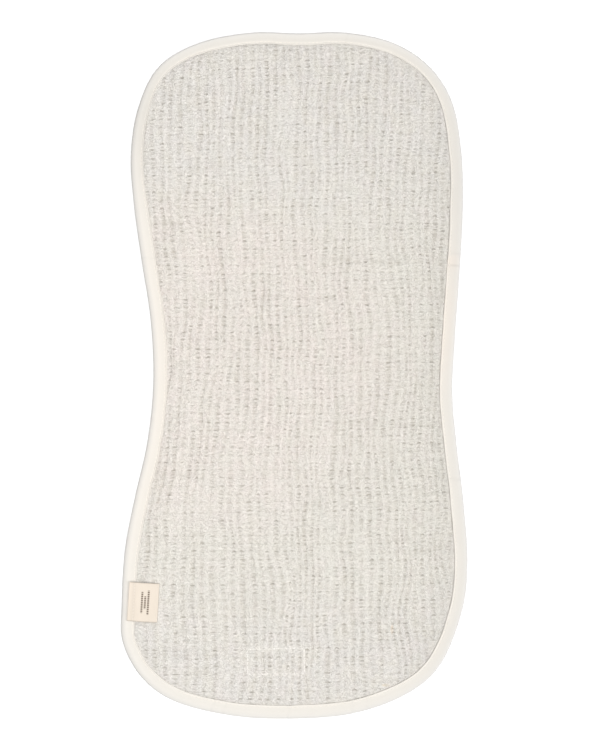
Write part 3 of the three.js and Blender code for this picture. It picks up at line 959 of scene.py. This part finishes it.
binding = makeBinding()
print("binding made:", len(binding.data.polygons), "faces")


# Stitches

# How long and thick each row's stitches are, how far their ends dip into the cloth, and how far below its
# surface their middles lie.
stitches = {
    "edge": {"length": 2.6 * mm, "radius": 0.17 * mm, "dip": 0.3 * mm, "sunk": 0.2 * mm},
    "patch": {"length": 2.6 * mm, "radius": 0.26 * mm, "dip": 0.35 * mm, "sunk": 0.05 * mm},
    "label": {"length": 2.0 * mm, "radius": 0.15 * mm, "dip": 0.25 * mm, "sunk": 0.14 * mm},
}


# A row of stitches: each is a bent tube of some rings and sides. With s from -1 to 1 along it, it is as thick
# as 1 - 0.85 s^6 and its ends dip into the cloth as s^4. middles are (x, y, z), alongs unit directions.
def stitchRow(name, middles, alongs, kind, material, side=1, rings=7, sides=6):
    length, radius, dip = (stitches[kind][key] for key in ("length", "radius", "dip"))
    steps = np.linspace(-1, 1, rings)[None, :, None]
    turn = np.linspace(0, 2 * math.pi, sides, endpoint=False)[None, None, :]
    thick = radius * (1 - 0.85 * steps**6)
    forward = steps * length / 2 + 0 * turn
    sideways = thick * np.cos(turn)
    up = thick * np.sin(turn) - dip * steps**4
    ax, ay = alongs[:, 0, None, None], alongs[:, 1, None, None]
    x = middles[:, 0, None, None] + ax * forward - ay * sideways
    y = middles[:, 1, None, None] + ay * forward + ax * sideways
    z = middles[:, 2, None, None] + side * (up + 0 * forward)
    places = np.stack(np.broadcast_arrays(x, y, z), axis=-1).reshape(-1, 3)
    caps = np.array([[0, 1, 2, 3], [0, 3, 4, 5]])
    tube = gridFaces(rings, sides, wrapColumns=True)
    one = np.concatenate([tube, caps[:, ::-1], caps + (rings - 1) * sides])[:, ::side]
    size = rings * sides
    quads = (one[None] + size * np.arange(len(middles))[:, None, None]).reshape(-1, 4)
    uv = np.stack([quads % size // sides * length / (rings - 1), quads % sides * radius], axis=-1)
    return makePiece(name, places, quads, material, uv)


def edgeStitches(name, side):  # the binding's own line, on its upper or its lower face
    at = (np.arange(stitchCount) + 0.5) * perimeter / stitchCount
    station = np.round(at / perimeter * len(outline)).astype(int) % len(outline)
    inset = (tapeWidth - tape["stitchIn"])[station]
    flat = outline[station] + inwards[station] * inset[:, None]
    z = np.full(stitchCount, stitches["edge"]["sunk"])
    if side > 0:
        z = edge["height"] - z + lapHeight(runFrom(lapRun)[station])
    middles = np.stack([flat[:, 0], flat[:, 1], z], axis=1)
    return stitchRow(name, middles, alongEdge[station], "edge", threadCotton, side)


frontStitches = edgeStitches("edge_stitches_front", 1)
backStitches = edgeStitches("edge_stitches_back", -1)


def muslinTop(flat, reach):  # the highest vertex of the muslin's front within reach of each place
    mesh = muslinFront.data
    places = np.empty(3 * len(mesh.vertices), dtype=np.float32)
    mesh.vertices.foreach_get("co", places)
    places = places.reshape(-1, 3)
    near = (np.abs(places[None, :, :2] - flat[:, None]) < reach).all(axis=2)
    return np.where(near, places[None, :, 2], 0).max(axis=1)


# The stitched rectangle: stitches at an even pitch round its four sides.
def patchStitches():
    w, h = patchStitch["width"], patchStitch["height"]
    middles, alongs = [], []
    for k in range(4):
        length, off = (h, w / 2) if k % 2 else (w, h / 2)
        turn = k * math.pi / 2 + patchStitch["turn"]
        c, s = math.cos(turn), math.sin(turn)
        count = int(length / patchPitch)
        along = (np.arange(count) + 0.5 - count / 2) * patchPitch
        middles.append(np.stack([along * c - off * s, along * s + off * c], axis=1))
        alongs.append(np.tile([[c, s]], (count, 1)))
    middles, alongs = np.concatenate(middles), np.concatenate(alongs)
    middles += [[patchStitch["x"], patchStitch["y"]]]
    z = muslinTop(middles, patchPress["width"]) - stitches["patch"]["sunk"]
    middles = np.concatenate([middles, z[:, None]], axis=1)
    return stitchRow("patch_stitches", middles, alongs, "patch", patchCotton)


patchThread = patchStitches()
print("stitches made")


# The care label

label = {
    "width": 22.5 * mm,
    "height": 29.5 * mm,
    "x": -125.3 * mm,
    "y": -170.9 * mm,
    "turn": math.radians(-3.6),
    "ply": 0.34 * mm,
    "rest": 3.3 * mm,  # its underside on the tape
    "arch": 1.1 * mm,
    "curl": 0.35 * mm,  # of its upper and lower ends
    "droop": 0.1 * mm,  # of its free end, from this far from the left end, over this length
    "droopFrom": 14 * mm,
    "droopLength": 8 * mm,
    "wave": 0.05 * mm,
    "flatten": 0.12,  # of its thickness, where it is sewn
    "sewn": 3 * mm,  # how far from the left end that is, and over which length it ends
    "tuck": 3.6 * mm,  # its end turned under, at the left
    "fold": 0.42 * mm,  # radius of the fold at its free end
    "gap": 0.06 * mm,  # between its layers
    "stitchIn": 4.2 * mm,  # the stitches, from the left end
    "stitchPitch": 2.35 * mm,
    "stitchCount": 12,
    "groove": 0.14 * mm,
    "grooveWidth": 0.4 * mm,
    "top": 1.28 * mm,  # its upper face above its underside, at the stitches
}


# The label's centreline, from the tucked end: left under the top layer, round, along the top to the free
# end, round, and back along the underside. Heights are above the rest; the last number says where the top
# begins.
def labelLine():
    fold, ply, width = label["fold"], label["ply"], label["width"]
    half = np.linspace(0, math.pi, 9)
    tuckedZ, underZ = 1.5 * ply + label["gap"], 0.5 * ply
    topZ = underZ + 2 * fold + 2 * label["gap"]
    small = (topZ - tuckedZ) / 2
    u = [np.linspace(label["tuck"], small, 6), small - small * np.sin(half[1:-1])]
    z = [np.full(6, tuckedZ), tuckedZ + small * (1 - np.cos(half[1:-1]))]
    large = (topZ - underZ) / 2
    u += [np.linspace(small, width - large, 40), width - large + large * np.sin(half[1:-1])]
    z += [np.full(40, topZ), topZ - large * (1 - np.cos(half[1:-1]))]
    u += [np.linspace(width - large, 0.6 * mm, 24)]
    z += [np.full(24, underZ)]
    return np.concatenate(u), np.concatenate(z), len(u[0]) + len(u[1])


# Places on the label: u from its left end, v along its height, z above its rest, with the arch, a sin^2 bump
# across u, and the curl |2v / height|^3 sin, all turned into place.
def labelPlace(u, v, z):
    over = np.sin(math.pi * u / label["width"])
    bend = label["arch"] * over**2 + label["curl"] * np.abs(2 * v / label["height"]) ** 3 * over
    c, s = math.cos(label["turn"]), math.sin(label["turn"])
    x, y = label["x"] + u * c - v * s, label["y"] + u * s + v * c
    return np.stack([x, y, label["rest"] + z + bend], axis=-1)


def makeLabel():
    u, z, topStart = labelLine()
    v = np.linspace(-0.5, 0.5, 34) * label["height"]
    run = np.concatenate([[0], np.cumsum(np.hypot(np.diff(u), np.diff(z)))])
    u, v, z, run = np.broadcast_arrays(u[:, None], v[None, :], z[:, None], run[:, None])
    sewn = 1 - smoothStep(u / label["sewn"] - 1)
    high = z * (1 - label["flatten"] * sewn)
    high -= label["droop"] * smoothStep((u - label["droopFrom"]) / label["droopLength"])
    high += label["wave"] * softNoise(u.shape, (6, 6), 31) * (1 - sewn)
    high -= label["groove"] * bell(u - label["stitchIn"], label["grooveWidth"]) * (z > 0.5 * mm)
    places = labelPlace(u, v, high).reshape(-1, 3)
    quads = gridFaces(*u.shape)[:, ::-1]
    top = run - run[topStart, 0]
    uv = np.stack([top.ravel()[quads], v.ravel()[quads]], axis=-1)
    piece = makePiece("label_tape", places, quads, labelCotton, uv)
    wall = piece.modifiers.new("ply", "SOLIDIFY")
    wall.thickness, wall.offset = label["ply"], 0
    return piece


labelPiece = makeLabel()


def labelStitches():  # one line across the label's sewn end
    count = label["stitchCount"]
    v = (np.arange(count) - (count - 1) / 2) * label["stitchPitch"]
    middles = labelPlace(np.full_like(v, label["stitchIn"]), v, label["top"] - stitches["label"]["sunk"])
    along = [-math.sin(label["turn"]), math.cos(label["turn"])]
    return stitchRow("label_stitches", middles, np.tile([along], (count, 1)), "label", threadCotton)


labelThread = labelStitches()
print("label made")


# What rides on what

pieces = [
    (muslinFront, "muslin", "muslin_pad"),
    (muslinBack, "muslin", "muslin_pad"),
    (binding, "binding", "edge_binding"),
    (frontStitches, "binding", None),
    (backStitches, "binding", None),
    (patchThread, "muslin", None),
    (labelPiece, "label", "care_label"),
    (labelThread, "label", None),
]
for piece, slot, node in pieces:
    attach(piece, "root")
    if node:
        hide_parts(node)


# Floor, light and camera

studio = {
    "floorSize": 12.0,
    "floorColour": (0.98, 0.98, 0.98, 1),
    "horizon": 0.2,  # strength of the surrounding light level with the floor
    "overhead": 0.8,  # how much stronger it is straight above
}

# Square lamps that point at the cloth's middle; sizes in metres, power in watts.
lamps = [
    {"name": "softbox", "place": (-0.34, -0.05, 1.2), "size": 0.6, "power": 8.8},
    {"name": "key", "place": (3.5, -1.4, 2.6), "size": 1.8, "power": 115.0},
]


def makeFloor():
    half = studio["floorSize"] / 2
    corners = np.array([[-half, -half, 0], [half, -half, 0], [half, half, 0], [-half, half, 0]])
    material, _, shader = newMaterial("floor", 1.0, 0.0, specular=0.0)
    shader.inputs["Base Color"].default_value = studio["floorColour"]
    floor = makePiece("floor", corners, np.array([[0, 1, 2, 3]]), material)


def makeLight():
    world = bpy.context.scene.world or bpy.data.worlds.new("studio")
    bpy.context.scene.world = world
    world.use_nodes = True
    background = world.node_tree.nodes["Background"]
    tree = world.node_tree
    direction = addNode(tree, "ShaderNodeTexCoord").outputs["Generated"]
    upward = addNode(tree, "ShaderNodeSeparateXYZ", {0: direction}).outputs[2]
    raised = math2(tree, "POWER", math2(tree, "MAXIMUM", upward, 0.0), 2.0)
    strength = plus(tree, times(tree, raised, studio["overhead"]), studio["horizon"])
    background.inputs["Color"].default_value = (1, 1, 1, 1)
    tree.links.new(strength, background.inputs["Strength"])
    for row in lamps:
        light = bpy.data.lights.new(row["name"], "AREA")
        light.shape, light.size, light.energy = "SQUARE", row["size"], row["power"]
        lamp = bpy.data.objects.new(row["name"], light)
        bpy.context.scene.collection.objects.link(lamp)
        x, y, z = lamp.location = row["place"]
        lamp.rotation_euler = (math.atan2(math.hypot(x, y), z), 0, math.atan2(x, -y))


photo = {
    "width": 600,
    "height": 750,
    "pixel": 0.757 * mm,  # the size on the cloth of one pixel of the photograph
    "clothX": 294.0,  # the pixel where the cloth's middle lies
    "clothY": 375.4,
    "lens": 85.0,
    "sensor": 36.0,
}


def makeCamera():
    camera = bpy.data.cameras.new("camera")
    camera.lens, camera.sensor_fit, camera.sensor_height = photo["lens"], "VERTICAL", photo["sensor"]
    stand = bpy.data.objects.new("camera", camera)
    bpy.context.scene.collection.objects.link(stand)
    distance = photo["height"] * photo["pixel"] * photo["lens"] / photo["sensor"]
    x = (photo["width"] / 2 - photo["clothX"]) * photo["pixel"]
    y = (photo["clothY"] - photo["height"] / 2) * photo["pixel"]
    stand.location = (x, y, distance + edge["height"])
    bpy.context.scene.camera = stand


makeFloor()
makeLight()
makeCamera()
bpy.context.scene.view_settings.view_transform = "Standard"
print("scene made")
